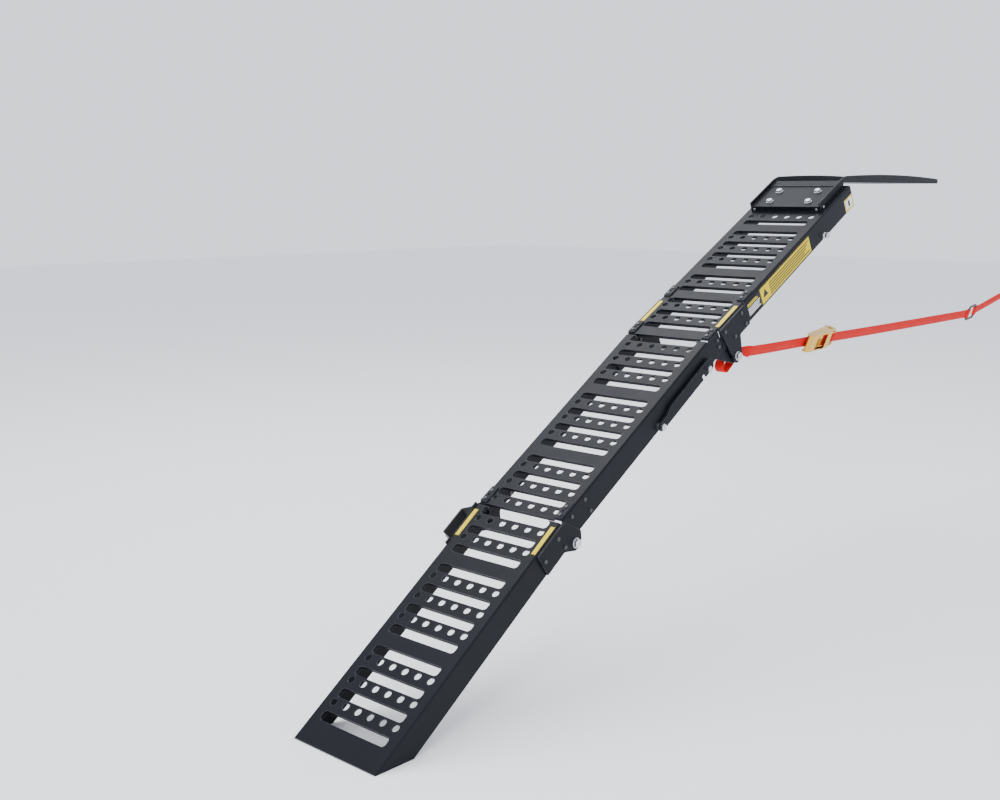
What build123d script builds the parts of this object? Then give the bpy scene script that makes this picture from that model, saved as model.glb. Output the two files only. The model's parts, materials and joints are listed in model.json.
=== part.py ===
from build123d import *
import os
from math import atan2, cos, degrees, hypot, radians, sin, tan

# Folding loading ramp, millimetres and degrees.
# +X runs up the ramp towards the vehicle, +Y is the ramp's left side, +Z is up.
# The origin is the centre of the tongue's underside, where it lies on the tailgate.

# ---- driving dimensions -------------------------------------------------------
PITCH = 50.0               # rung to rung along the deck
WIDTH = 212.0              # over the side rails
SHEET = 2.5                # deck sheet thickness
RAIL_DEPTH = 52.0          # deck top to rail bottom
BEND_RADIUS = 4.0          # outside radius of the deck to rail bend
LIP_DEPTH = 7.5            # deck top to the bottom of a turned-down slot edge
UPPER_ANGLE = 28.5         # incline of the top and link sections
MIDDLE_ANGLE = 32.0
LOWER_ANGLE = 35.5

RUNG_BELOW = 0.38 * PITCH  # rung edge below its row of holes
RUNG_ABOVE = 0.22 * PITCH  # rung edge above its row of holes
SLOT_WIDTH = PITCH - RUNG_BELOW - RUNG_ABOVE
SLOT_HALF = 84.0           # half the length of a slot, across the ramp
SLOT_CORNER = 7.0
HOLE_RADIUS = 7.3
HOLE_SPACING = 32.0
HOLES = 6

HINGE_GAP = 6.0            # between the ends of two hinged sections
MIDDLE_INSET = 0.5         # the middle section is narrower by this each side
TOE_PLATE = 47.5           # solid plate at the toe, up to the first slot
TOP_PLATE = 141.5          # solid plate under the tray, above the last rung

PLATE = 4.0                # hinge plate thickness
LOWER_PIVOT_DEPTH = 61.0   # pivot below the deck top
LOWER_PIVOT_PAST_END = 7.0 # pivot beyond the lower section's end
UPPER_PIVOT_DEPTH = 89.0
UPPER_PIVOT_FROM_START = 74.0

M10, M8, M6 = 5.0, 4.0, 3.0          # shank radii
RUNNING = 0.05                       # radial clearance of a pivot hole
LOOSE = 0.15                         # radial clearance of any other bolt hole

TRAY_LENGTH = 125.0
TRAY_RISE = 10.0           # deck top to the tray's underside
TRAY_SHEET = 3.0
TRAY_HALF = 93.0
TONGUE_LENGTH = 525.0
TONGUE_FLANGE = 15.0
TONGUE_CROWN = 5.0

LATCH_REACH = 190.0        # latch pivot to its thumb bolt
LATCH_STANDOFF = 4.0
LATCH_PIVOT = (328.5, -46.0)         # in the middle section's frame
STOW_STUD = (512.0, -45.0)           # in the upper frame

LABEL = 0.4
LEFT, RIGHT = 1, -1
SIDES = {"left": LEFT, "right": RIGHT}

rail_half = WIDTH / 2
middle_half = rail_half - MIDDLE_INSET
inner_face = middle_half - SHEET     # inside of the middle section's rails


# ---- general shapes -----------------------------------------------------------
def box(x, y, z):
    """A box from three (low, high) pairs."""
    size = [high - low for low, high in (x, y, z)]
    centre = [(high + low) / 2 for low, high in (x, y, z)]
    return Pos(*centre) * Box(*size)


def outline(corners):
    """A flat face from (x, z, corner radius) points."""
    face = make_face(Polyline([(x, z) for x, z, _ in corners], close=True))
    for x, z, radius in corners:
        if radius:
            corner = face.vertices().sort_by_distance((x, z, 0))[0]
            face = fillet(corner, radius)
    return face


def upright(face, thickness, y_high):
    """Stand a face drawn in x and z on edge, reaching from y_high towards -Y."""
    return Pos(0, y_high, 0) * Rot(90, 0, 0) * extrude(face, amount=thickness)


def side_plate(corners, side, inner_y, thickness=PLATE):
    """A plate along one side, its inner face at inner_y from the centre line."""
    y_high = inner_y + thickness if side == LEFT else -inner_y
    return upright(outline(corners), thickness, y_high)


def on_side(shape, side, x, z, y):
    """Turn a shape built along +Z to point out of one side, at (x, z)."""
    return Pos(x, side * y, z) * Rot(-90 * side, 0, 0) * shape


def cylinder(radius, low, high):
    return Pos(0, 0, (low + high) / 2) * Cylinder(radius, high - low)


def ring(outer, inner, low, high):
    return cylinder(outer, low, high) - cylinder(inner, low - 1, high + 1)


def hexagon(across_flats, low, high):
    block = extrude(RegularPolygon(across_flats / 2, 6, major_radius=False), amount=high - low)
    block = chamfer(block.edges().group_by(Axis.Z)[-1], 0.06 * across_flats)
    return Pos(0, 0, low) * block


def bolt(radius, length, across_flats, head):
    """A hex bolt along Z: head above 0, shank below."""
    return hexagon(across_flats, 0, head) + cylinder(radius, -length, 0)


def nut(radius, across_flats, height):
    """A hex nut below 0, on the far end of a bolt."""
    blank = Rot(180, 0, 0) * hexagon(across_flats, 0, height)
    return blank - cylinder(radius + RUNNING, -height - 1, 1)


def rivet(grip):
    """A dome rivet along Z: head above 0, closed end below the grip."""
    head = fillet(cylinder(4.2, 0, 2.2).edges().group_by(Axis.Z)[-1], 1.6)
    tail = cylinder(3.6, -grip - 1.5, -grip)
    return head + cylinder(2.4, -grip, 0) + tail


RIVET_HOLE = cylinder(2.4 + RUNNING, -12, 4)


# ---- frames of the sections ---------------------------------------------------
def place(frame, x, z):
    """The world position of (x, z) in a section's frame."""
    return (frame * Pos(x, 0, z)).position


def hang(frame, x, z, target):
    """The frame moved so that its (x, z) lies on target."""
    return Pos(*(target - place(frame, x, z))) * frame


lower_rungs = "RRRPRRRPRR"
middle_rungs = "RRRPRRRPRRR"
link_rungs = "PRR"
top_rungs = "PRPRRRPR"

middle_length = len(middle_rungs) * PITCH
link_length = len(link_rungs) * PITCH
lower_length = TOE_PLATE + len(lower_rungs) * PITCH + SLOT_WIDTH
top_length = len(top_rungs) * PITCH - SLOT_WIDTH + TOP_PLATE
fold_x = link_length + top_length - 2.0      # where the tray bends into the tongue
tray_front = fold_x - TRAY_LENGTH

fold_corner = Vector(-TONGUE_LENGTH / 2, 0, 0)
upper = hang(Rot(0, -UPPER_ANGLE, 0), fold_x, TRAY_RISE, fold_corner)
middle = hang(Rot(0, -MIDDLE_ANGLE, 0), middle_length + HINGE_GAP, 0, place(upper, 0, 0))
lower = hang(Rot(0, -LOWER_ANGLE, 0), lower_length + HINGE_GAP, 0, place(middle, 0, 0))
ground = place(lower, 0, -SHEET).Z

lower_pivot = (lower_length + LOWER_PIVOT_PAST_END, -LOWER_PIVOT_DEPTH)
upper_pivot = (UPPER_PIVOT_FROM_START, -UPPER_PIVOT_DEPTH)
lower_axis = place(lower, *lower_pivot)
upper_axis = place(upper, *upper_pivot)


def seen_from(frame, point):
    """A world point as (x, z) in a section's frame."""
    local = (frame.inverse() * Pos(*point)).position
    return local.X, local.Z


lower_pivot_in_middle = seen_from(middle, lower_axis)
upper_pivot_in_middle = seen_from(middle, upper_axis)

# where the folded ramp brings the stow stud, in the middle section's frame
folded_stud = (upper_pivot_in_middle[0] - (STOW_STUD[0] - upper_pivot[0]),
               upper_pivot_in_middle[1] - (STOW_STUD[1] - upper_pivot[1]))
latch_to_stud = (folded_stud[0] - LATCH_PIVOT[0], folded_stud[1] - LATCH_PIVOT[1])
notch_reach = hypot(*latch_to_stud)
latch_angle = degrees(atan2(latch_to_stud[1], latch_to_stud[0]))

nodes = {}


def keep(name, frame, *shapes):
    """Store a sub-part, moved from its section's frame to the world."""
    solids = [solid for shape in shapes for solid in (frame * shape).solids()]
    nodes[name] = solids[0] if len(solids) == 1 else Compound(children=solids)


# ---- decks --------------------------------------------------------------------
def slot_face(grow=0.0):
    face = RectangleRounded(SLOT_WIDTH + 2 * grow, 2 * (SLOT_HALF + grow), SLOT_CORNER + grow)
    return face


def deck(rungs, length, first_row, half, slot_below=False, slot_above=True):
    """A folded channel with turned-down slots; first_row is the first rung's hole row."""
    shell = box((0, length), (-half, half), (-RAIL_DEPTH, 0))
    shell = fillet(shell.edges().filter_by(Axis.X).group_by(Axis.Z)[-1], BEND_RADIUS)
    hollow = box((-1, length + 1), (SHEET - half, half - SHEET), (-RAIL_DEPTH - 1, -SHEET))
    hollow = fillet(hollow.edges().filter_by(Axis.X).group_by(Axis.Z)[-1], BEND_RADIUS - SHEET)
    shell -= hollow

    rows = [first_row + index * PITCH for index in range(len(rungs))]
    last = len(rows) if slot_above else len(rows) - 1
    first = -1 if slot_below else 0
    slots = [first_row + index * PITCH + RUNG_ABOVE + SLOT_WIDTH / 2 for index in range(first, last)]
    rims = [Pos(x, 0, -LIP_DEPTH) * extrude(slot_face(SHEET), amount=LIP_DEPTH - SHEET / 2) for x in slots]
    shell += [rim & box((0, length), (-half, half), (-LIP_DEPTH, 0)) for rim in rims]
    if not slot_below:
        shell += box((0, SHEET), (-SLOT_HALF, SLOT_HALF), (-LIP_DEPTH, -SHEET / 2))
    cuts = [Pos(x, 0, -LIP_DEPTH - 1) * extrude(slot_face(), amount=LIP_DEPTH + 2) for x in slots]
    holes = [Pos(x, (index - (HOLES - 1) / 2) * HOLE_SPACING, 0) * Cylinder(HOLE_RADIUS, 3 * SHEET)
             for x, kind in zip(rows, rungs) if kind == "R" for index in range(HOLES)]
    return shell - cuts - holes


lower_deck = deck(lower_rungs, lower_length, TOE_PLATE + SLOT_WIDTH + RUNG_BELOW, rail_half, slot_below=True)
below_ground = Pos(place(lower, 0, 0).X, 0, ground) * box((-100, 300), (-WIDTH, WIDTH), (-100, 0))
lower_deck -= lower.inverse() * below_ground          # the rails are cut level at the toe
middle_deck = deck(middle_rungs, middle_length, RUNG_BELOW, middle_half)
link_deck = deck(link_rungs, link_length, RUNG_BELOW, rail_half)
top_deck = deck(top_rungs, top_length, RUNG_BELOW, rail_half, slot_above=False)

# The link's rails start at its brackets: the middle section's rails reach past its
# deck in two tabs that fill the space.
TAB = 42.0
TAB_TOP = -SHEET - 1.0
for side in SIDES.values():
    link_deck -= box((-1, TAB), sorted((side * (rail_half - SHEET - 2), side * (rail_half + 1))),
                     (-RAIL_DEPTH - 1, -SHEET - 0.5))

tab_start = middle_length - 1.0
for side in SIDES.values():
    tab_corners = [(tab_start, -0.5 * SHEET - BEND_RADIUS, 0), (tab_start, -RAIL_DEPTH, 0),
                   (middle_length + HINGE_GAP + TAB - 8, -RAIL_DEPTH, 3),
                   (middle_length + HINGE_GAP + TAB - 4, TAB_TOP - 2.5, 2),
                   (middle_length + 2, -0.5 * SHEET - BEND_RADIUS, 0)]
    middle_deck += side_plate(tab_corners, side, middle_half - SHEET, SHEET)


# ---- hinge plates -------------------------------------------------------------
def around(pivot, corners):
    """Corners given from a pivot, moved to it."""
    return [(pivot[0] + x, pivot[1] + z, radius) for x, z, radius in corners]


lower_outer_outline = around(lower_pivot, [
    (-91, 58, 2), (-1, 58, 2), (25, 9, 4), (19, -2, 6),
    (10, -14, 9), (-8, -13, 10), (-33, 9, 6), (-91, 9, 2)])
lower_inner_outline = around(lower_pivot_in_middle, [
    (9, 56, 2), (82, 56, 3), (82, 14, 3), (26, 10, 6),
    (14, -13, 12), (-12, -12, 11), (-12, 10, 8), (2, 30, 6)])
upper_outer_outline = around(upper_pivot, [
    (-34, 86, 2), (70, 86, 3), (74, 36, 3), (31, 36, 4), (18, -8, 9), (-9, -15, 6)])
upper_inner_outline = around(upper_pivot_in_middle, [
    (-138, 86, 3), (-66, 86, 3), (-34, 78, 4), (16, 14, 12), (12, -13, 11), (-12, -12, 8), (-62, 38, 8),
    (-138, 38, 3)])


def pivot_hole(pivot, radius):
    """A cutter through both sides at a pivot."""
    return Pos(pivot[0], 0, pivot[1]) * Rot(90, 0, 0) * Cylinder(radius, WIDTH + 60)


def rivet_holes(side, places, y):
    return [on_side(RIVET_HOLE, side, x, z, y) for x, z in places]


lower_outer_rivets = [(lower_pivot[0] - 31, -17), (lower_pivot[0] - 26, -45), (lower_pivot[0] - 81, -25)]
lower_inner_rivets = [(26, -14), (72, -12), (74, -42)]
upper_tab_rivets = [(middle_length + HINGE_GAP + 27, -21), (middle_length + HINGE_GAP + 26, -37)]
upper_outer_rivets = [(56, -16), (86, -46), (127, -13), (134, -44)]
splice_rivets = [(127, -13), (134, -44)]

splice_plates = []
for name, side in SIDES.items():
    lower_outer = side_plate(lower_outer_outline, side, rail_half)
    lower_outer -= rivet_holes(side, lower_outer_rivets, rail_half)
    keep(f"lower_hinge_outer_plate_{name}", lower, lower_outer - pivot_hole(lower_pivot, M10 + LOOSE))
    lower_deck -= rivet_holes(side, lower_outer_rivets, rail_half)

    lower_inner = side_plate(lower_inner_outline, side, inner_face - PLATE)
    lower_inner -= rivet_holes(side, lower_inner_rivets, middle_half)
    keep(f"lower_hinge_inner_plate_{name}", middle,
         lower_inner - pivot_hole(lower_pivot_in_middle, M10 + RUNNING))
    middle_deck -= rivet_holes(side, lower_inner_rivets + upper_tab_rivets, middle_half)

    upper_inner = side_plate(upper_inner_outline, side, inner_face - PLATE)
    upper_inner -= rivet_holes(side, upper_tab_rivets, middle_half)
    keep(f"upper_hinge_inner_plate_{name}", middle,
         upper_inner - pivot_hole(upper_pivot_in_middle, M10 + RUNNING))

    bracket = side_plate(upper_outer_outline, side, rail_half)
    bracket -= rivet_holes(side, upper_outer_rivets, rail_half)
    keep(f"upper_hinge_bracket_{name}", upper, bracket - pivot_hole(upper_pivot, M10 + LOOSE))
    link_deck -= rivet_holes(side, upper_outer_rivets, rail_half)

    splice = side_plate([(118, -7, 3), (196, -7, 3), (196, -48, 3), (118, -48, 3)], side,
                        rail_half - SHEET - PLATE)
    splice_plates.append(splice - rivet_holes(side, splice_rivets, rail_half))

keep("link_splice_plates", upper, *splice_plates)


def side_rivets(places, grip, y):
    return [on_side(rivet(grip), side, x, z, y) for side in SIDES.values() for x, z in places]


keep("lower_hinge_outer_rivets", lower, *side_rivets(lower_outer_rivets, PLATE + SHEET, rail_half + PLATE))
keep("middle_section_rivets", middle,
     *side_rivets(lower_inner_rivets + upper_tab_rivets, PLATE + SHEET, middle_half))
keep("upper_hinge_bracket_rivets", upper,
     *side_rivets(upper_outer_rivets[:2], PLATE + SHEET, rail_half + PLATE),
     *side_rivets(splice_rivets, 2 * PLATE + SHEET, rail_half + PLATE))


# ---- hinge bolts --------------------------------------------------------------
WASHER = 1.6
M10_HEAD, M10_FLATS, M10_NUT = 6.4, 16.0, 9.0
plate_face = rail_half + PLATE
SPACER = 2.5                          # sits between the outer and the inner plate

lower_bolt_length = plate_face + WASHER - (inner_face - PLATE - 0.3) + M10_NUT + 2


def hinge_washer():
    return ring(10.0, M10 + LOOSE, 0, WASHER)


def hinge_spacer():
    return ring(8.0, M10 + LOOSE, -SPACER, 0)


lower_hinge_places = [(side, lower_pivot[0], lower_pivot[1]) for side in SIDES.values()]
keep("lower_hinge_bolts", lower, *[
    on_side(bolt(M10, lower_bolt_length, M10_FLATS, M10_HEAD), side, x, z, plate_face + WASHER)
    for side, x, z in lower_hinge_places])
keep("lower_hinge_washers", lower, *[
    on_side(hinge_washer(), side, x, z, plate_face) for side, x, z in lower_hinge_places])
keep("lower_hinge_spacers", lower, *[
    on_side(hinge_spacer(), side, x, z, rail_half) for side, x, z in lower_hinge_places])
keep("lower_hinge_nuts", lower, *[
    on_side(nut(M10, M10_FLATS, M10_NUT), side, x, z, inner_face - PLATE - 0.3)
    for side, x, z in lower_hinge_places])

upper_hinge_places = [(side, upper_pivot[0], upper_pivot[1]) for side in SIDES.values()]
rod_length = 2 * (plate_face + WASHER) + M10_NUT + 4
keep("upper_hinge_rod", upper,
     on_side(bolt(M10, rod_length, M10_FLATS, M10_HEAD), RIGHT, *upper_pivot, plate_face + WASHER))
keep("upper_hinge_nut", upper,
     on_side(Rot(180, 0, 0) * nut(M10, M10_FLATS, M10_NUT), LEFT, *upper_pivot, plate_face + WASHER))
keep("upper_hinge_washers", upper, *[
    on_side(hinge_washer(), side, x, z, plate_face) for side, x, z in upper_hinge_places])
keep("upper_hinge_spacers", upper, *[
    on_side(hinge_spacer(), side, x, z, rail_half) for side, x, z in upper_hinge_places])


# ---- butt plates on the deck rails --------------------------------------------
BUTT_SHEET = 3.5
BUTT_WIDTH = 17.0
BUTT_INNER = 87.0
BUTT_LENGTH = 44.0
butt_rivet_places = (9.0, 31.0)


def butt_plate(side, start, half):
    """A raised plate at the start of a section's rail, with a hole between its rivets."""
    centre = side * (BUTT_INNER + BUTT_WIDTH / 2 - (rail_half - half))
    plate = box((start, start + BUTT_LENGTH), (centre - BUTT_WIDTH / 2, centre + BUTT_WIDTH / 2),
                (0, BUTT_SHEET))
    plate = fillet(plate.edges().filter_by(Axis.Z), 2.5)
    plate = chamfer(plate.edges().group_by(Axis.Z)[-1], 0.8)
    plate -= Pos(start + 20, centre, 0) * cylinder(2.8, -1, 5)
    shafts = [Pos(start + x, centre, BUTT_SHEET) for x in butt_rivet_places]
    plate -= [shaft * RIVET_HOLE for shaft in shafts]
    return plate, [shaft * rivet(BUTT_SHEET + SHEET) for shaft in shafts]


butt_starts = {"middle_butt_plates": (middle, 1.0, middle_half), "link_butt_plates": (upper, 1.0, rail_half),
               "top_butt_plates": (upper, link_length + 1.0, rail_half)}
butt_rivets = {name: [] for name in butt_starts}
for name, (frame, start, half) in butt_starts.items():
    pairs = [butt_plate(side, start, half) for side in SIDES.values()]
    keep(name, frame, *[plate for plate, _ in pairs])
    butt_rivets[name] = [shank for _, shanks in pairs for shank in shanks]
keep("middle_butt_rivets", middle, *butt_rivets["middle_butt_plates"])
keep("upper_butt_rivets", upper, *butt_rivets["link_butt_plates"], *butt_rivets["top_butt_plates"])

for side in SIDES.values():
    for x in butt_rivet_places:
        hole = Pos(1.0 + x, side * (BUTT_INNER + BUTT_WIDTH / 2), BUTT_SHEET) * RIVET_HOLE
        link_deck -= hole
        top_deck -= hole
        middle_deck -= Pos(0, -side * MIDDLE_INSET, 0) * hole


# ---- tray and tongue ----------------------------------------------------------
def world_xz(frame, x, z):
    point = place(frame, x, z)
    return point.X, point.Z


bend_half = radians(UPPER_ANGLE / 2)
bend_top = (fold_corner.X - TRAY_SHEET * tan(bend_half), TRAY_SHEET)
tongue_end = fold_corner.X + TONGUE_LENGTH
tongue_middle = (fold_corner.X + tongue_end) / 2

floor_outline = [(*world_xz(upper, tray_front, TRAY_RISE), 0), (fold_corner.X, 0, 0), (tongue_end, 0, 0),
                 (tongue_end, TRAY_SHEET, 0), (*bend_top, 0),
                 (*world_xz(upper, tray_front, TRAY_RISE + TRAY_SHEET), 0)]
tongue = upright(outline(floor_outline), 2 * TRAY_HALF, TRAY_HALF)

flange_high = TRAY_RISE + 12.0
flange_start = world_xz(upper, tray_front, flange_high)
flange_bend = world_xz(upper, fold_x - 3, flange_high)
flange_face = make_face([
    Polyline(flange_start, world_xz(upper, tray_front, 0.0), world_xz(upper, fold_x - 8, 0.0),
             (fold_corner.X, 0), (tongue_end, 0), (tongue_end, TONGUE_FLANGE - 3)),
    ThreePointArc((tongue_end, TONGUE_FLANGE - 3), (tongue_middle, TONGUE_FLANGE + TONGUE_CROWN),
                  (fold_corner.X + 12, TONGUE_FLANGE)),
    Polyline((fold_corner.X + 12, TONGUE_FLANGE), flange_bend, flange_start)])
for side in SIDES.values():
    tongue += upright(flange_face, TRAY_SHEET, TRAY_HALF if side == LEFT else TRAY_SHEET - TRAY_HALF)
front_lip = box((tray_front, tray_front + TRAY_SHEET), (-TRAY_HALF, TRAY_HALF), (0, TRAY_RISE + 1))
step = box((fold_x - 27, fold_x - 1), (1 - TRAY_HALF, TRAY_HALF - 1),
           (TRAY_RISE + 1, TRAY_RISE + TRAY_SHEET + 1.8))
tongue += upper * front_lip
tongue += upper * step
tongue += Pos(tongue_end - 1, 0, 6) * Rot(90, 0, 0) * Cylinder(6, 2 * TRAY_HALF)

tray_bolt_places = [(tray_front + x, y) for x in (22.0, 72.0) for y in (-51.5, 51.5)]
M8_HEAD, M8_FLATS, M8_NUT = 5.3, 13.0, 6.5
bolt_seat = TRAY_RISE + TRAY_SHEET
for x, y in tray_bolt_places:
    tongue -= upper * Pos(x, y, 0) * cylinder(M8 + LOOSE, 0, 2 * bolt_seat)
    top_deck -= Pos(x - link_length, y, 0) * cylinder(M8 + LOOSE, -8, 4)

keep("tray_bolts", upper, *[
    Pos(x, y, bolt_seat + WASHER) * bolt(M8, bolt_seat + WASHER + SHEET + M8_NUT + 2, M8_FLATS, M8_HEAD)
    for x, y in tray_bolt_places])
keep("tray_washers", upper, *[
    Pos(x, y, bolt_seat) * ring(8.5, M8 + LOOSE, 0, WASHER) for x, y in tray_bolt_places])
keep("tray_spacers", upper, *[
    Pos(x, y, 0) * ring(7.5, M8 + LOOSE, 0, TRAY_RISE) for x, y in tray_bolt_places])
keep("tray_nuts", upper, *[
    Pos(x, y, -SHEET) * nut(M8, M8_FLATS, M8_NUT) for x, y in tray_bolt_places])

# screws through the tray's front lip and sides into two corner blocks
BLOCK = 14.0
blocks, screws = [], []
for side in SIDES.values():
    inner = side * (TRAY_HALF - TRAY_SHEET)
    block = box((tray_front + TRAY_SHEET, tray_front + TRAY_SHEET + BLOCK),
                sorted((inner, inner - side * BLOCK)), (0, TRAY_RISE))
    front_screw = Pos(tray_front, inner - side * 7, 5) * Rot(0, -90, 0) * bolt(M6 - 1, 10, 6.5, 2.4)
    side_screw = on_side(bolt(M6 - 1, 10, 6.5, 2.4), side, tray_front + TRAY_SHEET + 10.5, 5, TRAY_HALF)
    screws += [front_screw, side_screw]
    holes = [Pos(tray_front, inner - side * 7, 5) * Rot(0, -90, 0) * cylinder(M6 - 1 + RUNNING, -10, 1),
             on_side(cylinder(M6 - 1 + RUNNING, -10, 1), side, tray_front + TRAY_SHEET + 10.5, 5, TRAY_HALF)]
    blocks.append(block - holes)
    tongue -= [upper * hole for hole in holes]
keep("tray_corner_blocks", upper, *blocks)
keep("tray_screws", upper, *screws)
keep("tailgate_tongue", Pos(0, 0, 0), tongue)


# ---- stow stud and latch ------------------------------------------------------
STUD_COLLAR = 3.2
STUD_GAP = 4.6
stud_length = STUD_COLLAR + STUD_GAP + SHEET + M8_NUT + 2
stud = bolt(M10 - 0.5, stud_length, 15.0, 5.0) + cylinder(8.0, -STUD_COLLAR - STUD_GAP, -STUD_GAP)
keep("stow_stud", upper, on_side(stud, RIGHT, *STOW_STUD, rail_half + STUD_COLLAR + STUD_GAP))
keep("stow_stud_nut", upper, on_side(nut(M10 - 0.5, 15.0, M8_NUT), RIGHT, *STOW_STUD, rail_half - SHEET))
stud_hole = on_side(cylinder(M10 - 0.5 + LOOSE, -10, 5), RIGHT,
                    STOW_STUD[0] - link_length, STOW_STUD[1], rail_half)
top_deck -= stud_hole

BAR = 4.0
bar_outline = [(-9, 8, 8), (24, 10, 12), (46, 18, 14), (206, 19, 10), (212, 4, 8), (206, -8.5, 6),
               (-9, -8.5, 8)]
bar = side_plate(bar_outline, RIGHT, middle_half + LATCH_STANDOFF, BAR)
bar -= pivot_hole((0, 0), M8 + RUNNING)
bar -= pivot_hole((LATCH_REACH, 0), M8 + RUNNING)
notch = Pos(notch_reach, 0, -10) * Box(2 * (M10 + 1), 400, 20)
bar -= notch + pivot_hole((notch_reach, 0), M10 + 1)
latch_frame = middle * Pos(LATCH_PIVOT[0], 0, LATCH_PIVOT[1])
keep("stow_latch_bar", latch_frame, bar)

bar_face = middle_half + LATCH_STANDOFF + BAR
keep("latch_thumb_bolt", latch_frame,
     on_side(bolt(M8, BAR + 1.5, M8_FLATS, M8_HEAD), RIGHT, LATCH_REACH, 0, bar_face))
pivot_bolt_length = bar_face + 0.3 - middle_half + SHEET + M8_NUT + 2
keep("latch_pivot_bolt", latch_frame,
     on_side(bolt(M8, pivot_bolt_length, M8_FLATS, M8_HEAD), RIGHT, 0, 0, bar_face + 0.3))
keep("latch_pivot_spacer", latch_frame,
     on_side(ring(8.0, M8 + RUNNING, 0, LATCH_STANDOFF - 0.3), RIGHT, 0, 0, middle_half))
keep("latch_pivot_nut", latch_frame, on_side(nut(M8, M8_FLATS, M8_NUT), RIGHT, 0, 0, middle_half - SHEET))
middle_deck -= Pos(LATCH_PIVOT[0], 0, LATCH_PIVOT[1]) * on_side(
    cylinder(M8 + RUNNING, -10, 5), RIGHT, 0, 0, middle_half)


# ---- carry handle on the lower section's left rail ----------------------------
HANDLE_STANDOFF = 24.0
HANDLE_SHEET = 3.0
HANDLE_Z = (-24.0, 2.0)
HANDLE_SCREW_Z = -12.0
foot_low, foot_high = lower_length - 106.0, lower_length + 3.0
handle_face = rail_half + HANDLE_STANDOFF
handle_path = [(foot_low, rail_half), (foot_low + 13, rail_half), (foot_low + 23, handle_face),
               (foot_high - 24, handle_face), (foot_high - 13, plate_face), (foot_high, plate_face)]
handle_outer = [(x, y + HANDLE_SHEET) for x, y in reversed(handle_path)]
handle_plan = make_face(Polyline(handle_path + handle_outer, close=True))
handle = Pos(0, 0, HANDLE_Z[0]) * extrude(handle_plan, amount=HANDLE_Z[1] - HANDLE_Z[0])
handle_screws = []
for x, seat in ((foot_low + 7, rail_half), (foot_high - 6, plate_face)):
    spot = Pos(x, seat + HANDLE_SHEET, HANDLE_SCREW_Z) * Rot(-90, 0, 0)
    grip = seat + HANDLE_SHEET - (rail_half - SHEET)
    handle_screws.append(spot * (bolt(2.5, grip, 8.0, 2.6) + cylinder(3.8, -grip - 3, -grip)))
    hole = spot * cylinder(2.5 + RUNNING, -20, 2)
    handle -= hole
    lower_deck -= hole
    nodes["lower_hinge_outer_plate_left"] -= lower * hole
keep("carry_handle", lower, handle)
handle_middle = place(lower, (foot_low + foot_high) / 2, sum(HANDLE_Z) / 2)
keep("carry_handle_screws", lower, *handle_screws)


# ---- labels (blank) -----------------------------------------------------------
def deck_label(side, start, end):
    """A narrow reflective strip along a rail's top."""
    centre = side * (rail_half - 8.5)
    return box((start, end), (centre - 5.5, centre + 5.5), (0, LABEL))


def side_label(start, end, low, high):
    """A label on the right rail's outer face."""
    return box((start, end), (-rail_half - LABEL, -rail_half), (low, high))


keep("lower_rail_labels", lower,
     *[deck_label(side, lower_length - 82, lower_length - 12) for side in SIDES.values()])
keep("link_rail_labels", upper, *[deck_label(side, 49, 133) for side in SIDES.values()])
keep("side_label_small", upper, side_label(link_length + 5, 213, -44, -12))
keep("side_label_large", upper, side_label(214, 450, -49.5, -9))
keep("corner_label", upper, side_label(630, 670, -51, -20))


# ---- tie-down strap -----------------------------------------------------------
# The strap's own frame: X level towards the vehicle from the hinge rod, Z up.
WEB_THICK, WEB_WIDTH = 2.0, 25.0
STRAP_Y = -86.0
TWIST = (32.0, 95.0)
WEB_TILT = 20.0                       # the webbing's top edge leans outwards
BUCKLE = (326.0, 352.0, 462.0)        # grip end, anchor pin, spindle
RING_AT = 1300.0
LEG_RISE = 13.0
strap = Pos(upper_axis.X, STRAP_Y, upper_axis.Z)
run = strap * Rot(WEB_TILT, 0, 0)


def flat_band(face):
    """A band standing on edge, its width along Z."""
    return Pos(0, 0, -WEB_WIDTH / 2) * extrude(face, amount=WEB_WIDTH)


def loop_band(circles, tip):
    """A closed loop of webbing around (x, y, radius) circles, drawn to a tip."""
    def teardrop(grow):
        edges = (Pos(*tip) * Circle(0.2 + grow)).edges()
        for x, y, radius in circles:
            edges += (Pos(x, y) * Circle(radius + grow)).edges()
        return make_hull(edges)
    return teardrop(WEB_THICK) - teardrop(0)


lay_flat = Rot(90, 0, 0)
eye = lay_flat * flat_band(loop_band([(0, 0, M10 + 0.3)], (TWIST[0] - 2, 0)))
slack = lay_flat * flat_band(loop_band([(-20, -21, 12.5), (0, 0, 8.2)], (TWIST[0] - 3, -2.6)))
joint_patch = box((TWIST[0] - 6, TWIST[0] + 1), (-WEB_WIDTH / 2, WEB_WIDTH / 2), (-5.6, 2.2))
TWIST_STEPS = 6


def twist_section(share):
    """The webbing's section part of the way through its turn from flat to on edge."""
    angle = radians((90 + WEB_TILT) * share)
    across = Plane(origin=(TWIST[0] + (TWIST[1] - TWIST[0]) * share, 0, 0),
                   x_dir=(0, cos(angle), sin(angle)), z_dir=(1, 0, 0))
    return across * Rectangle(WEB_WIDTH, WEB_THICK)


twist = loft([twist_section(step / TWIST_STEPS) for step in range(TWIST_STEPS + 1)])
pin_radius, spindle_radius = 3.0, 6.0
spindle_y = spindle_radius + 5.1      # clear of the webbing wound on it
first_run = box((TWIST[1], BUCKLE[1] - 16), (-1, 1), (-WEB_WIDTH / 2, WEB_WIDTH / 2))
anchor_loop = flat_band(loop_band([(BUCKLE[1], 0, pin_radius + 0.3)], (BUCKLE[1] - 17, 0)))
on_edge = Rot(WEB_TILT, 0, 0) * (first_run + anchor_loop)
keep("strap_pivot_leg", strap, eye + slack + joint_patch + twist + on_edge)

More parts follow.
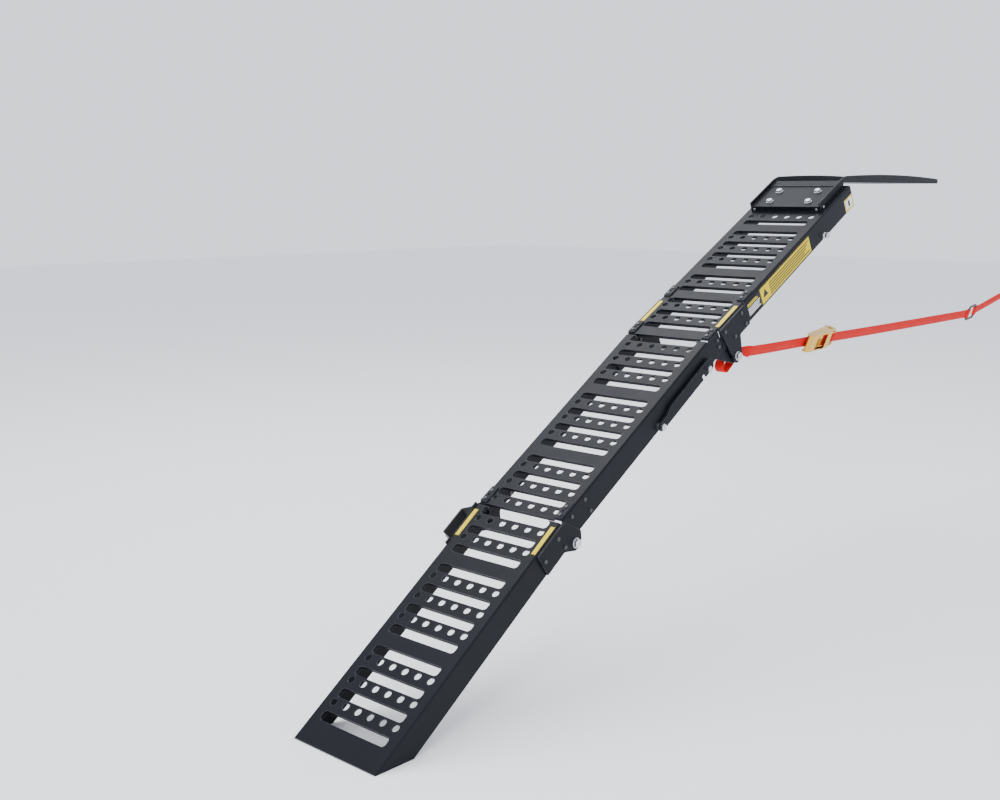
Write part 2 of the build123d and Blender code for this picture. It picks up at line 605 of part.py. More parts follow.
ring_half, ring_wire = 20.0, 3.0
HOOK_WIRE = 2.5
near_bar = Pos(RING_AT - ring_half, 0, 0)
leg_frame = Pos(RING_AT + ring_half, 0, 6) * Rot(0, -LEG_RISE, 0)
main_run = box((BUCKLE[2], RING_AT - ring_half - 20), (-1, 1), (-WEB_WIDTH / 2, WEB_WIDTH / 2))
ring_loop = flat_band(loop_band([(0, 0, ring_wire + 0.3)], (-21, 0)))
keep("strap_main_run", run, main_run + near_bar * ring_loop)

LEG = 275.0
leg = box((20, LEG - 20), (-1, 1), (-WEB_WIDTH / 2, WEB_WIDTH / 2))
leg += Rot(0, 0, 180) * ring_loop
leg += Pos(LEG, 0, 0) * flat_band(loop_band([(0, 0, HOOK_WIRE + 0.3)], (-21, 0)))
keep("strap_hook_leg", run * leg_frame, leg)

bar_length = WEB_WIDTH + 16
ring_corners = [place(end, 0, z) for end, z in ((near_bar, bar_length / 2), (near_bar, -bar_length / 2),
                                                (leg_frame, -bar_length / 2), (leg_frame, bar_length / 2))]
ring_path = FilletPolyline(ring_corners, radius=6, close=True)
ring_start = Plane(origin=ring_path @ 0, z_dir=ring_path % 0) * Circle(ring_wire)
keep("strap_ring", run, sweep(ring_start, path=ring_path))

# a wire hook: a closed eye for the webbing and an open bight
hook_line = FilletPolyline((14, -17), (0, -17), (0, 17), (14, 17), (34, 4), (86, 4), (86, -34), (54, -34),
                           (54, -16), radius=6)
hook_start = Plane(origin=hook_line @ 0, z_dir=hook_line % 0) * Circle(HOOK_WIRE)
keep("strap_hook", run * leg_frame * Pos(LEG, 0, 0) * Rot(90, 0, 0), sweep(hook_start, path=hook_line))

# ratchet buckle: frame, anchor pin, spindle with its wheels, and the lever
CHEEK = 2.0
cheek_in = WEB_WIDTH / 2 + 1.5


def cheek(face, low):
    """A pair of cheeks above and below the webbing."""
    plate = extrude(face, amount=CHEEK)
    return [Pos(0, 0, low) * plate, Pos(0, 0, -low - CHEEK) * plate]


frame_face = make_hull((Pos(BUCKLE[1], 0) * Circle(9)).edges()
                       + (Pos(BUCKLE[2], spindle_y) * Circle(16)).edges())
frame_base = box((BUCKLE[1] + 14, BUCKLE[2] - 26), (9, 11), (-cheek_in, cheek_in))
spindle_hole = Pos(BUCKLE[2], spindle_y, 0) * Cylinder(spindle_radius + RUNNING, 80)
pin_hole = Pos(BUCKLE[1], 0, 0) * Cylinder(pin_radius + RUNNING, 80)
buckle_frame = Part() + cheek(frame_face, cheek_in) + frame_base
keep("buckle_frame", run, buckle_frame - spindle_hole - pin_hole)
pin_head = cylinder(pin_radius + 2, cheek_in + CHEEK, cheek_in + CHEEK + 1.6)
pin_tail = Rot(180, 0, 0) * pin_head
keep("buckle_anchor_pin", run * Pos(BUCKLE[1], 0, 0),
     cylinder(pin_radius, -cheek_in - CHEEK, cheek_in + CHEEK) + pin_head + pin_tail)

wheel_low = cheek_in + CHEEK + 0.4
TEETH = 11
wheel = cylinder(12.0, 0, CHEEK) + [
    Rot(0, 0, 360 / TEETH * tooth) * Pos(12.5, 0, CHEEK / 2) * Box(6, 3, CHEEK) for tooth in range(TEETH)]
wheels = [Pos(0, 0, wheel_low) * wheel, Pos(0, 0, -wheel_low - CHEEK) * wheel]
shaft_half = wheel_low + 2 * CHEEK + 2.0
spindle = cylinder(spindle_radius, -shaft_half, shaft_half) + wheels
web_slot = Box(30, 2.6, WEB_WIDTH + 1)
spindle -= web_slot
keep("ratchet_spindle", run * Pos(BUCKLE[2], spindle_y, 0), spindle)
roll = ring(spindle_radius + 3.9, spindle_radius + 0.3, -WEB_WIDTH / 2, WEB_WIDTH / 2)
keep("strap_roll", run * Pos(BUCKLE[2], spindle_y, 0), roll)

lever_low = wheel_low + CHEEK + 0.4
grip_centre = (BUCKLE[0] + 8, -8)
lever_face = make_hull((Pos(BUCKLE[2], spindle_y) * Circle(14)).edges()
                       + (Pos(BUCKLE[2] - 62, -5) * Circle(9)).edges())
lever_face += make_hull((Pos(*grip_centre) * Circle(8)).edges()
                        + (Pos(BUCKLE[2] - 62, -5) * Circle(7)).edges())
lever_half = lever_low + CHEEK
grip = Pos(*grip_centre, 0) * (Cylinder(8, 2 * lever_half) - Cylinder(6, 2 * lever_half + 2))
grip &= box((BUCKLE[0] - 5, BUCKLE[0] + 30), (-30, grip_centre[1] + 1), (-lever_half, lever_half))
grip += box((BUCKLE[0] + 8, BUCKLE[0] + 34), (-16, -14), (-lever_half, lever_half))
pawl_plate = box((BUCKLE[2] - 44, BUCKLE[2] - 24), (-10, -8), (-lever_half, lever_half))
lever = Part() + cheek(lever_face, lever_low) + grip + pawl_plate
keep("ratchet_lever", run, lever - spindle_hole)

keep("lower_deck", lower, lower_deck)
keep("middle_deck", middle, middle_deck)
keep("link_deck", upper, link_deck)
keep("top_deck", upper * Pos(link_length, 0, 0), top_deck)

os.makedirs("parts", exist_ok=True)
for name, part in nodes.items():
    export_step(part, f"parts/{name}.step")
    print(f"{name:32s} {len(part.solids()):3d} solids  {part.volume / 1000:9.2f} cm3")

print("pieces", len(nodes))
print("ground", round(ground, 2))
for label, axis in (("lower fold", lower_axis), ("upper fold", upper_axis)):
    print(label, [round(value, 3) for value in axis])
latch_axis = place(middle, *LATCH_PIVOT)
print("handle", [round(value, 3) for value in handle_middle], "gap", plate_face, handle_face)
print("latch", [round(value, 3) for value in latch_axis],
      "angle", round(latch_angle, 2), "reach", round(notch_reach, 2))
print("spindle", [round(value, 3) for value in (run * Pos(BUCKLE[2], spindle_y, 0)).position])
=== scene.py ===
import bpy
import bmesh
import json
from math import cos, pi, radians, sin
from mathutils import Matrix, Vector


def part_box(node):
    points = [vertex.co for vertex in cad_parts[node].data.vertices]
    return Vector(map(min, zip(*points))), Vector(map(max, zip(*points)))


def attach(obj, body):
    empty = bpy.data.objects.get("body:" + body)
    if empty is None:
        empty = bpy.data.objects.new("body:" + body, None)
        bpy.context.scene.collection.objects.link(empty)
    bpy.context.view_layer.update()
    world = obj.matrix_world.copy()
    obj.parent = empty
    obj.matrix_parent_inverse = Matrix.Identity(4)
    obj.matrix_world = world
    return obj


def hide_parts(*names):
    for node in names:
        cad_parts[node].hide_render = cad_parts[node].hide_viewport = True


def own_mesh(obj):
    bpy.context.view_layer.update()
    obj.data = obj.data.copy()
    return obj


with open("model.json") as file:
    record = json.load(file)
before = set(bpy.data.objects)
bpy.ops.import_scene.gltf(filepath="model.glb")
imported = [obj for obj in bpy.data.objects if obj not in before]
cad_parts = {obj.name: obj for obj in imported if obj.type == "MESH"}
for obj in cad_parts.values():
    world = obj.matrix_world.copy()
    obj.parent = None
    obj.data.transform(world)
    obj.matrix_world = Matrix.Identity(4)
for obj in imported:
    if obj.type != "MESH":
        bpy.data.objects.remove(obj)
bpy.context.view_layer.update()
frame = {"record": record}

# ---- sizes, metres and degrees ------------------------------------------------
UPPER_ANGLE = radians(28.5)     # incline of the top and link sections
LOWER_ANGLE = radians(35.5)
RAIL_DEPTH = 0.052              # deck top to rail bottom
RAIL_HALF = 0.106               # centre to the outer face of a rail
LABEL = 0.0004                  # a label's thickness
PRINT = 0.00012                 # the thickness of print on a label
WEB_WIDTH = 0.025
WEB_THICK = 0.0016
STRAP_Y = -0.086                # the strap's line, inside the right rail
LEG_RISE = radians(13.0)        # the hook's leg climbs from the ring


def low(node):
    return Vector(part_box(node)[0])


def high(node):
    return Vector(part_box(node)[1])


def middle_of(node):
    return (low(node) + high(node)) / 2


# ---- materials ----------------------------------------------------------------
def new_material(name, colour, roughness, metallic=0.0):
    """A material and its principled shader."""
    made = bpy.data.materials.new(name)
    made.use_nodes = True
    shader = made.node_tree.nodes["Principled BSDF"]
    shader.inputs["Base Color"].default_value = (*colour, 1.0)
    shader.inputs["Roughness"].default_value = roughness
    shader.inputs["Metallic"].default_value = metallic
    return made, shader


def add(material, kind, links=(), **values):
    """Add a node; links are (input, socket) pairs, values set node attributes."""
    tree = material.node_tree
    node = tree.nodes.new(kind)
    for key, value in values.items():
        setattr(node, key, value)
    for key, source in links:
        if isinstance(source, bpy.types.NodeSocket):
            tree.links.new(source, node.inputs[key])
        else:
            node.inputs[key].default_value = source
    return node


def join(material, source, target):
    material.node_tree.links.new(source, target)


def object_coordinates(material):
    return add(material, "ShaderNodeTexCoord").outputs["Object"]


def noise(material, scale, detail=3.0, roughness=0.5):
    where = object_coordinates(material)
    links = [("Vector", where), ("Scale", scale), ("Detail", detail), ("Roughness", roughness)]
    return add(material, "ShaderNodeTexNoise", links).outputs["Fac"]


def span(material, value, start, end):
    """Map a 0 to 1 value on to start to end."""
    links = [("Value", value), ("To Min", start), ("To Max", end)]
    return add(material, "ShaderNodeMapRange", links).outputs["Result"]


def blend_colours(material, factor, first, second):
    node = add(material, "ShaderNodeMix", data_type="RGBA")
    join(material, factor, node.inputs["Factor"])
    for index, colour in ((6, first), (7, second)):
        if isinstance(colour, bpy.types.NodeSocket):
            join(material, colour, node.inputs[index])
        else:
            node.inputs[index].default_value = (*colour, 1.0)
    return node.outputs[2]


def bump(material, height, strength, distance):
    return add(material, "ShaderNodeBump",
               [("Height", height), ("Strength", strength), ("Distance", distance)]).outputs["Normal"]


def edge_mask(material, radius, start, end):
    """1 along sharp edges, 0 on flats."""
    rounded = add(material, "ShaderNodeBevel", [("Radius", radius)], samples=6).outputs["Normal"]
    flat = add(material, "ShaderNodeNewGeometry").outputs["Normal"]
    turned = add(material, "ShaderNodeVectorMath", operation="DOT_PRODUCT")
    join(material, rounded, turned.inputs[0])
    join(material, flat, turned.inputs[1])
    links = [("Value", turned.outputs["Value"]), ("From Min", start), ("From Max", end),
             ("To Min", 1.0), ("To Max", 0.0)]
    return add(material, "ShaderNodeMapRange", links).outputs["Result"]


def powder_coat():
    made, shader = new_material("powder_coat", (0.02, 0.023, 0.03), 0.4)
    cloud = noise(made, 7.0, 4.0)
    grain = noise(made, 1400.0, 2.0)
    # Sharp edges are lightened to a pale grey in patches: partly wear, partly a painted edge highlight.
    dark, light, edge_wear_and_highlight = (0.0030, 0.0034, 0.0052), (0.0060, 0.0068, 0.0105), (0.20, 0.21, 0.24)
    base = blend_colours(made, cloud, dark, light)
    edge_wear_and_highlight_mask = add(made, "ShaderNodeMath", operation="MULTIPLY")
    join(made, edge_mask(made, 0.0009, 0.90, 0.995), edge_wear_and_highlight_mask.inputs[0])
    join(made, span(made, noise(made, 60.0, 4.0), 0.15, 0.75), edge_wear_and_highlight_mask.inputs[1])
    join(made, blend_colours(made, edge_wear_and_highlight_mask.outputs[0], base, edge_wear_and_highlight), shader.inputs["Base Color"])
    join(made, span(made, noise(made, 22.0, 5.0), 0.34, 0.48), shader.inputs["Roughness"])
    join(made, bump(made, grain, 0.12, 0.0004), shader.inputs["Normal"])
    shader.inputs["Specular IOR Level"].default_value = 0.12
    return made


def black_paint(name, colour, roughness):
    made, shader = new_material(name, colour, roughness)
    lighter = tuple(3 * value + 0.01 for value in colour)
    # Every sharp edge is lightened to grey: partly wear, partly a painted edge highlight.
    edge_wear_and_highlight = edge_mask(made, 0.0005, 0.90, 0.995)
    base = blend_colours(made, noise(made, 40.0), colour, lighter)
    join(made, blend_colours(made, edge_wear_and_highlight, base, (0.12, 0.12, 0.13)), shader.inputs["Base Color"])
    join(made, span(made, noise(made, 130.0, 4.0), roughness - 0.08, roughness + 0.12),
         shader.inputs["Roughness"])
    join(made, bump(made, noise(made, 1800.0, 2.0), 0.1, 0.0003), shader.inputs["Normal"])
    return made


def plated(name, bright, dull, roughness):
    made, shader = new_material(name, bright, roughness, 1.0)
    patches = noise(made, 160.0, 5.0, 0.6)
    join(made, blend_colours(made, patches, bright, dull), shader.inputs["Base Color"])
    join(made, span(made, noise(made, 420.0, 4.0), roughness - 0.1, roughness + 0.14),
         shader.inputs["Roughness"])
    join(made, bump(made, noise(made, 900.0, 3.0), 0.1, 0.0003), shader.inputs["Normal"])
    return made


def vinyl(name, colour, scuffed):
    made, shader = new_material(name, colour, 0.35)
    scuffs = span(made, noise(made, 90.0, 6.0, 0.7), -0.6, 0.9)
    join(made, blend_colours(made, scuffs, colour, scuffed), shader.inputs["Base Color"])
    join(made, span(made, noise(made, 50.0, 3.0), 0.28, 0.45), shader.inputs["Roughness"])
    join(made, bump(made, noise(made, 600.0, 2.0), 0.05, 0.0002), shader.inputs["Normal"])
    shader.inputs["Specular IOR Level"].default_value = 0.2
    return made


def webbing():
    """Woven webbing: fine ribs across the band and a row along it, from its UVs."""
    made, shader = new_material("webbing_red", (0.8, 0.03, 0.02), 0.62)
    where = add(made, "ShaderNodeTexCoord").outputs["UV"]
    ribs = [("Vector", where), ("Scale", 320.0), ("Distortion", 0.6)]
    across = add(made, "ShaderNodeTexWave", ribs, bands_direction="X").outputs["Fac"]
    lines = [("Vector", where), ("Scale", 150.0), ("Distortion", 0.3)]
    along = add(made, "ShaderNodeTexWave", lines, bands_direction="Y").outputs["Fac"]
    weave = add(made, "ShaderNodeMath", operation="MULTIPLY")
    join(made, across, weave.inputs[0])
    join(made, along, weave.inputs[1])
    # The low parts of the weave are painted a deeper red as shade in its grooves; the raised ribs keep the
    # webbing's own red.
    groove_shade_red, bright, faded = (0.50, 0.0020, 0.0010), (0.80, 0.0060, 0.0030), (0.82, 0.014, 0.008)
    weave_red_with_groove_shade = blend_colours(made, weave.outputs[0], groove_shade_red, bright)
    fade = span(made, noise(made, 18.0, 4.0), 0.0, 0.3)
    join(made, blend_colours(made, fade, weave_red_with_groove_shade, faded), shader.inputs["Base Color"])
    join(made, bump(made, weave.outputs[0], 0.35, 0.0005), shader.inputs["Normal"])
    shader.inputs["Specular IOR Level"].default_value = 0.15
    return made


def moulded():
    made, shader = new_material("black_plastic", (0.014, 0.014, 0.015), 0.5)
    join(made, blend_colours(made, noise(made, 25.0), (0.010, 0.010, 0.011), (0.022, 0.022, 0.024)),
         shader.inputs["Base Color"])
    join(made, span(made, noise(made, 300.0), 0.42, 0.6), shader.inputs["Roughness"])
    join(made, bump(made, noise(made, 1200.0, 2.0), 0.2, 0.0004), shader.inputs["Normal"])
    return made


finishes = {
    "powder_coat": powder_coat(),
    "zinc": plated("zinc", (0.80, 0.81, 0.83), (0.55, 0.56, 0.60), 0.26),
    "gold_zinc": plated("gold_zinc", (0.80, 0.47, 0.07), (0.62, 0.35, 0.05), 0.18),
    "black_rivet": black_paint("black_rivet", (0.010, 0.010, 0.012), 0.36),
    "black_wire": black_paint("black_wire", (0.015, 0.015, 0.016), 0.35),
    "black_plastic": moulded(),
    "label_yellow": vinyl("label_yellow", (0.72, 0.53, 0.0), (0.62, 0.44, 0.0)),
    "label_black": vinyl("label_black", (0.012, 0.012, 0.014), (0.04, 0.04, 0.045)),
    "label_white": vinyl("label_white", (0.86, 0.86, 0.84), (0.7, 0.7, 0.68)),
    "webbing_red": webbing(),
}
node_slots = {entry["node"]: entry["material_slot"] for entry in frame["record"]["subparts"]}
for node, slot in node_slots.items():
    part = bpy.data.objects[node]
    part.data.materials.clear()
    part.data.materials.append(finishes[slot])


# ---- making pieces ------------------------------------------------------------
def finish_piece(mesh, name, body, slot):
    """The mesh as a piece that rides on a body, with its slot's finish."""
    made = bpy.data.objects.new(name, mesh)
    bpy.context.scene.collection.objects.link(made)
    mesh.materials.append(finishes[slot])
    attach(made, body)
    return made


def deck_frame(node, angle):
    """A section's frame: X along the deck from its lower end, Z out of the deck."""
    low_corner, high_corner = low(node), high(node)
    length = (high_corner.x - low_corner.x - RAIL_DEPTH * sin(angle)) / cos(angle)
    start = Vector((low_corner.x, 0.0, high_corner.z - length * sin(angle)))
    return Matrix.Translation(start) @ Matrix.Rotation(-angle, 4, "Y"), length


upper, link_length = deck_frame("link_deck", UPPER_ANGLE)
lower, lower_length = deck_frame("lower_deck", LOWER_ANGLE)


def printed(name, body, slot, place, patches):
    """Flat printed shapes; each patch is a list of (x, y) corners on place's XY plane."""
    shape = bmesh.new()
    for corners in patches:
        bottom = [shape.verts.new((x, y, 0.0)) for x, y in corners]
        top = [shape.verts.new((x, y, PRINT)) for x, y in corners]
        shape.faces.new(top)
        shape.faces.new(list(reversed(bottom)))
        count = len(corners)
        for index in range(count):
            following = (index + 1) % count
            shape.faces.new((bottom[index], bottom[following], top[following], top[index]))
    shape.transform(place)
    mesh = bpy.data.meshes.new(name)
    shape.to_mesh(mesh)
    shape.free()
    return finish_piece(mesh, name, body, slot)


PRINT_CORNER = 0.0006           # corner radius of printed shapes
CORNER_TURNS = (0, 30, 60, 90)  # the points of a rounded corner, degrees


def rectangle(x0, x1, y0, y1, corner=PRINT_CORNER):
    """A rectangle with small rounded corners, as (x, y) points."""
    points = []
    centres = ((x1 - corner, y1 - corner, 0), (x0 + corner, y1 - corner, 90),
               (x0 + corner, y0 + corner, 180), (x1 - corner, y0 + corner, 270))
    for centre_x, centre_y, start in centres:
        for turn in CORNER_TURNS:
            angle = radians(start + turn)
            points.append((centre_x + corner * cos(angle), centre_y + corner * sin(angle)))
    return points


def border(x0, x1, y0, y1, width):
    """The four bars around a rectangle, inside it."""
    inner_low, inner_high = y0 + width, y1 - width
    return [rectangle(x0, x1, y0, inner_low), rectangle(x0, x1, inner_high, y1),
            rectangle(x0, x0 + width, inner_low, inner_high),
            rectangle(x1 - width, x1, inner_low, inner_high)]


RAGGED = 0.12                   # the most that a bar falls short, as a share of its length
BAR_CORNER = 0.0003


def rows(x0, x1, y0, y1, count, fill=0.45):
    """Plain bars of four lengths in place of lines of print."""
    pitch = (y1 - y0) / count
    bars = []
    for index in range(count):
        foot = y0 + index * pitch
        end = x1 - (x1 - x0) * RAGGED * ((index * 7) % 4) / 3
        bars.append(rectangle(x0, end, foot, foot + pitch * fill, BAR_CORNER))
    return bars


# The right rail's outer face: X along the deck, Y up the face, Z out of it.
side_turn = Matrix.Rotation(radians(90), 4, "X")
right_face = upper @ Matrix.Translation((0, -RAIL_HALF - LABEL, 0)) @ side_turn

# A side label's box is its start and end along the rail, then its low and high edges.
LARGE_BOX = (0.214, 0.450, -0.0495, -0.009)
LARGE_BORDER = 0.0016
TRIANGLE_RADIUS = 0.012
large_print = border(*LARGE_BOX, LARGE_BORDER)
large_print += rows(LARGE_BOX[0] + 0.040, LARGE_BOX[1] - 0.008, LARGE_BOX[2] + 0.006, LARGE_BOX[3] - 0.004, 5)
triangle_x, triangle_y = LARGE_BOX[0] + 0.020, -0.030
triangle_turns = [radians(90 + 120 * corner) for corner in range(3)]
large_print.append([(triangle_x + TRIANGLE_RADIUS * cos(turn), triangle_y + TRIANGLE_RADIUS * sin(turn))
                    for turn in triangle_turns])
printed("side_label_large_print", "upper_section", "label_black", right_face, large_print)

SMALL_MARGIN = 0.004
small_start, small_end = link_length + 0.005, 0.213
printed("side_label_small_heading", "upper_section", "label_yellow", right_face,
        rows(small_start + SMALL_MARGIN, small_end - 0.010, -0.021, -0.013, 2, 0.6))
printed("side_label_small_rows", "upper_section", "label_white", right_face,
        rows(small_start + SMALL_MARGIN, small_end - SMALL_MARGIN, -0.042, -0.023, 5, 0.5))

CORNER_BOX = (0.630, 0.670, -0.051, -0.020)
CORNER_BORDER = 0.004
printed("corner_label_border", "upper_section", "label_yellow", right_face,
        border(*CORNER_BOX, CORNER_BORDER))
printed("corner_label_mark", "upper_section", "label_black", right_face,
        [rectangle(0.646, 0.654, -0.043, -0.028, 0.002)])

RAIL_LABEL_INSET = 0.0085       # rail's outer face to the label's middle
RAIL_LABEL_HALF = 0.0055
RAIL_LABEL_EDGE = 0.0008
for place, start, end, name, body in (
        (lower, lower_length - 0.082, lower_length - 0.012, "lower", "lower_section"),
        (upper, 0.049, 0.133, "link", "upper_section")):
    edges = []
    for side in (-1, 1):
        centre = side * (RAIL_HALF - RAIL_LABEL_INSET)
        edges += border(start, end, centre - RAIL_LABEL_HALF, centre + RAIL_LABEL_HALF, RAIL_LABEL_EDGE)
    printed(f"{name}_rail_label_edges", body, "label_black", place @ Matrix.Translation((0, 0, LABEL)), edges)


# ---- tie-down webbing ---------------------------------------------------------
rod = middle_of("upper_hinge_rod")
strap = Matrix.Translation((rod.x, STRAP_Y, rod.z))
TWIST = (0.032, 0.095)          # where the webbing turns from flat to on edge
WEB_TILT = radians(20)          # the webbing's top edge leans outwards
PIN_X, SPINDLE_X = 0.352, 0.462
RING_X, RING_HALF, LEG = 1.300, 0.020, 0.275
RING_BAR, HOOK_BAR = 0.0042, 0.0037     # centreline radii of the loops around them
LOOP_TIP = 0.021                # a bar's middle to where its loop closes
run = strap @ Matrix.Rotation(WEB_TILT, 4, "X")


def smooth_line(name, points):
    """The points of the smooth line that a route's control points draw."""
    curve = bpy.data.curves.new(name, "CURVE")
    curve.dimensions = "3D"
    curve.resolution_u = 12
    spline = curve.splines.new("NURBS")
    spline.points.add(len(points) - 1)
    for point, place in zip(spline.points, points):
        point.co = (*place, 1.0)
    spline.order_u = 3
    spline.use_endpoint_u = True
    holder = bpy.data.objects.new(name, curve)
    mesh = bpy.data.meshes.new_from_object(holder)
    line = [vertex.co.copy() for vertex in mesh.vertices]
    bpy.data.objects.remove(holder)
    bpy.data.curves.remove(curve)
    bpy.data.meshes.remove(mesh)
    return line


# A band's section, as shares of half its width and half its thickness.
SECTION = [(-1.0, -0.4), (-0.96, -1.0), (0.96, -1.0), (1.0, -0.4),
           (1.0, 0.4), (0.96, 1.0), (-0.96, 1.0), (-1.0, 0.4)]


def band(name, line, turn, closed=False, width=WEB_WIDTH):
    """A webbing band along a line; turn(point) gives the direction of its width."""
    shape = bmesh.new()
    layer = shape.loops.layers.uv.new("weave")
    travelled = 0.0
    profiles = []
    count = len(line)
    for index, point in enumerate(line):
        ahead = line[(index + 1) % count] if closed or index + 1 < count else point
        behind = line[index - 1] if closed or index > 0 else point
        along = (ahead - behind).normalized()
        across = turn(point)
        across = (across - along * across.dot(along)).normalized()
        out = along.cross(across)
        if index:
            travelled += (point - line[index - 1]).length
        ring = [shape.verts.new(point + across * (x * width / 2) + out * (y * WEB_THICK / 2))
                for x, y in SECTION]
        profiles.append((ring, travelled))
    pairs = list(zip(profiles, profiles[1:]))
    if closed:
        pairs.append((profiles[-1], (profiles[0][0], travelled + (line[0] - line[-1]).length)))
    for (first, start), (second, end) in pairs:
        for index in range(len(SECTION)):
            following = (index + 1) % len(SECTION)
            face = shape.faces.new((first[index], second[index], second[following], first[following]))
            face.smooth = True
            corners = ((start, index), (end, index), (end, following), (start, following))
            for loop, (u, side) in zip(face.loops, corners):
                loop[layer].uv = (u, (SECTION[side][0] + 1) * width / 2)
    if not closed:
        shape.faces.new(profiles[0][0])
        shape.faces.new(list(reversed(profiles[-1][0])))
    bmesh.ops.recalc_face_normals(shape, faces=shape.faces)
    mesh = bpy.data.meshes.new(name)
    shape.to_mesh(mesh)
    shape.free()
    return finish_piece(mesh, name, "upper_section", "webbing_red")


def in_strap(points):
    """Points given in the level frame at the hinge rod."""
    return [strap @ Vector(point) for point in points]


def in_run(points):
    """Points given in the frame that leans with the webbing on edge."""
    return [run @ Vector(point) for point in points]


def upright(_):
    """The width of webbing on edge."""
    return run.to_3x3() @ Vector((0, 0, 1))


def level(_):
    """The width of webbing lying flat."""
    return Vector((0, 1, 0))


def twisting(point):
    """The width of webbing as it turns from flat to on edge."""
    share = (point.x - rod.x - TWIST[0]) / (TWIST[1] - TWIST[0])
    angle = (radians(90) + WEB_TILT) * min(max(share, 0.0), 1.0)
    return Vector((0, cos(angle), sin(angle)))


CIRCLE_STEPS = 56


def loop_line(circles, tip):
    """A closed loop in a plane: the outline of circles drawn to a tip."""
    points = []
    for x, z, radius in circles:
        for step in range(CIRCLE_STEPS):
            angle = 2 * pi * step / CIRCLE_STEPS
            points.append((x + radius * cos(angle), z + radius * sin(angle)))
    points.append(tip)
    points = sorted(set(points))

    def half(ordered):
        kept = []
        for point in ordered:
            while len(kept) > 1 and ((kept[-1][0] - kept[-2][0]) * (point[1] - kept[-2][1])
                                     - (kept[-1][1] - kept[-2][1]) * (point[0] - kept[-2][0])) <= 0:
                kept.pop()
            kept.append(point)
        return kept[:-1]
    return half(points) + half(points[::-1])


pivot_route = in_strap([(0.028, 0, 0), (0.062, 0, 0.0008), (0.100, 0, 0), (0.200, 0, -0.0006),
                        (0.320, 0, 0), (PIN_X - 0.006, 0, 0)])
pivot_line = smooth_line("pivot_route", pivot_route)
pivot_leg = band("webbing_pivot_leg", pivot_line, twisting)
eye_loop = loop_line([(0, 0, 0.0062)], (0.031, 0.0))
eye = band("webbing_eye", in_strap([(x, 0, z) for x, z in eye_loop]), level, True)
SLACK_WIDTH = 0.022
hanging_loop = loop_line([(-0.020, -0.021, 0.0135), (0, 0, 0.0092)], (0.029, -0.0024))
slack = band("webbing_slack_loop", in_strap([(x, 0.0, z) for x, z in hanging_loop]), level, True, SLACK_WIDTH)
around_pin = loop_line([(0, 0, 0.0043)], (-0.018, 0.0))
pin_loop = band("webbing_pin_loop", in_run([(PIN_X + x, z, 0) for x, z in around_pin]), upright, True)

main_route = in_run([(SPINDLE_X, 0, 0), (0.560, 0, -0.0006), (0.760, 0, -0.001), (0.980, 0, -0.0006),
                     (RING_X - RING_HALF - 0.007, 0, 0)])
main_line = smooth_line("main_route", main_route)
main_run = band("webbing_main_run", main_line, upright)
around_ring = loop_line([(0, 0, RING_BAR)], (-LOOP_TIP, 0.0))
near_loop = band("webbing_ring_loop", in_run([(RING_X - RING_HALF + x, z, 0) for x, z in around_ring]),
                 upright, True)
leg = run @ Matrix.Translation((RING_X + RING_HALF, 0, 0.006)) @ Matrix.Rotation(-LEG_RISE, 4, "Y")
leg_up = leg.to_3x3() @ Vector((0, 0, 1))


def leg_width(_):
    """The width of the webbing in the hook's leg."""
    return leg_up


hook_route = [leg @ Vector((x, 0, 0)) for x in (0.006, 0.080, 0.180, LEG - 0.006)]
hook_line = smooth_line("hook_route", hook_route)
hook_leg = band("webbing_hook_leg", hook_line, leg_width)
far_side = loop_line([(0, 0, RING_BAR)], (LOOP_TIP, 0.0))
around_hook = loop_line([(0, 0, HOOK_BAR)], (-LOOP_TIP, 0.0))
leg_loops = [
    band("webbing_leg_ring_loop", [leg @ Vector((x, z, 0)) for x, z in far_side], leg_width, True),
    band("webbing_leg_hook_loop", [leg @ Vector((LEG + x, z, 0)) for x, z in around_hook], leg_width, True)]


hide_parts("strap_pivot_leg")
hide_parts("strap_main_run")
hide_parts("strap_hook_leg")

for piece in (pivot_leg, eye, slack, pin_loop, main_run, near_loop, hook_leg, *leg_loops):
    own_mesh(piece)


# ---- floor, light and camera --------------------------------------------------
TOE_RISE = 0.00204              # ground to the upper edge of the toe
FLOOR_HALF = 14.0
toe = low("lower_deck")
toe_edge = Vector((toe.x, 0.0, toe.z + TOE_RISE))

floor_mesh = bpy.data.meshes.new("floor")
floor_corners = [(FLOOR_HALF * x, FLOOR_HALF * y, toe.z) for x, y in ((-1, -1), (1, -1), (1, 1), (-1, 1))]
floor_mesh.from_pydata(floor_corners, [], [(0, 1, 2, 3)])
floor = bpy.data.objects.new("floor", floor_mesh)
bpy.context.scene.collection.objects.link(floor)
floor_finish, _ = new_material("pale_floor", (0.86, 0.86, 0.87), 0.7)
floor_mesh.materials.append(floor_finish)

SKY_TOP, SKY_SIDE = 1.6, 1.5    # strengths overhead and at the sides
SKY_RISE = (0.1, 0.9)           # heights between which one becomes the other
SKY_COLOUR = (0.86, 0.91, 1.0, 1.0)


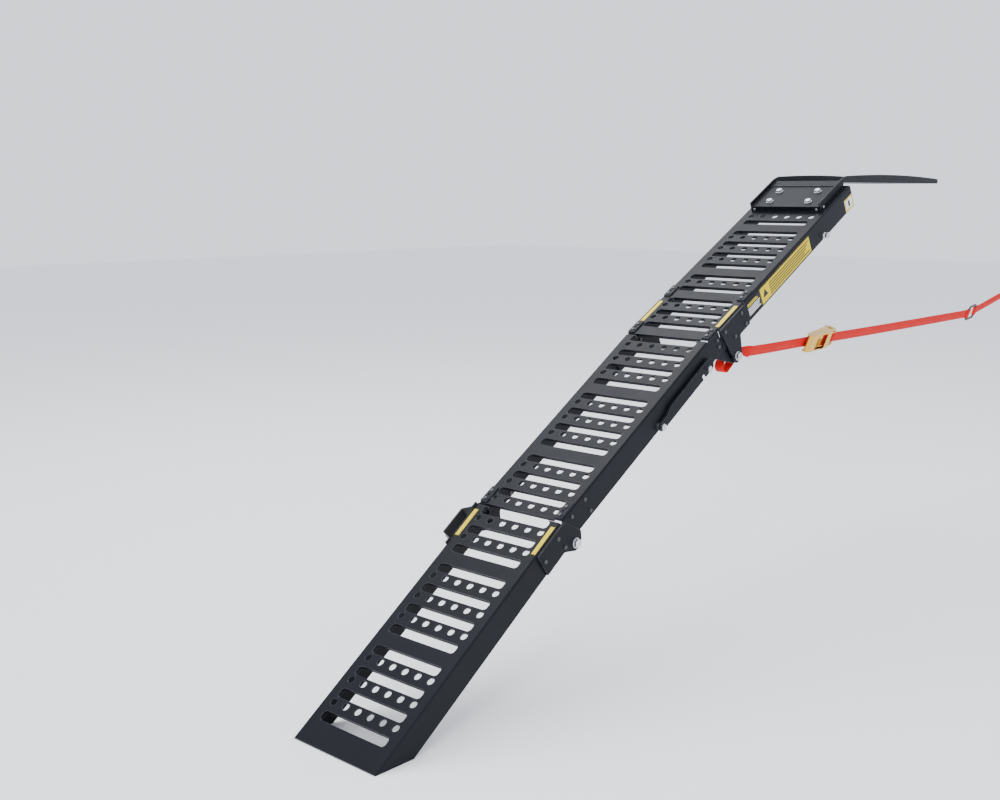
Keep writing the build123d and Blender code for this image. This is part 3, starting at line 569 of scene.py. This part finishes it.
def studio_world():
    """A plain pale surround, slightly brighter overhead."""
    world = bpy.data.worlds.new("studio")
    bpy.context.scene.world = world
    world.use_nodes = True
    tree = world.node_tree
    tree.nodes.clear()
    output = tree.nodes.new("ShaderNodeOutputWorld")
    where = tree.nodes.new("ShaderNodeTexCoord")
    height = tree.nodes.new("ShaderNodeSeparateXYZ")
    tree.links.new(where.outputs["Generated"], height.inputs[0])
    ramp = tree.nodes.new("ShaderNodeMapRange")
    limits = (("From Min", SKY_RISE[0]), ("From Max", SKY_RISE[1]), ("To Min", SKY_SIDE), ("To Max", SKY_TOP))
    for key, value in limits:
        ramp.inputs[key].default_value = value
    tree.links.new(height.outputs["Z"], ramp.inputs["Value"])
    lit = tree.nodes.new("ShaderNodeBackground")
    lit.inputs["Color"].default_value = SKY_COLOUR
    tree.links.new(ramp.outputs["Result"], lit.inputs["Strength"])
    tree.links.new(lit.outputs[0], output.inputs[0])


studio_world()


def area_light(name, place, target, size, power):
    """A square white light at place, facing target."""
    data = bpy.data.lights.new(name, "AREA")
    data.shape = "SQUARE"
    data.size = size
    data.energy = power
    made = bpy.data.objects.new(name, data)
    bpy.context.scene.collection.objects.link(made)
    made.location = place
    made.rotation_euler = (Vector(target) - Vector(place)).to_track_quat("-Z", "Y").to_euler()


area_light("overhead", place=(-0.6, 1.2, 3.0), target=(-0.8, 0.0, -0.6), size=3.2, power=160.0)
area_light("key", place=(-3.4, -1.6, 2.2), target=(-0.8, 0.0, -0.5), size=1.2, power=60.0)

FOCAL_OVER_WIDTH = 1.236
SENSOR = 36.0                   # millimetres
CAMERA_FROM_TOE = Vector((-1.2369, -1.52685, 0.92915))
CAMERA_FORWARD = Vector((0.7239, 0.66996, -0.16468))
camera_data = bpy.data.cameras.new("camera")
camera_data.sensor_width = SENSOR
camera_data.lens = FOCAL_OVER_WIDTH * SENSOR
camera = bpy.data.objects.new("camera", camera_data)
bpy.context.scene.collection.objects.link(camera)
camera.location = toe_edge + CAMERA_FROM_TOE
camera.rotation_euler = CAMERA_FORWARD.to_track_quat("-Z", "Y").to_euler()
bpy.context.scene.camera = camera

bpy.context.view_layer.update()
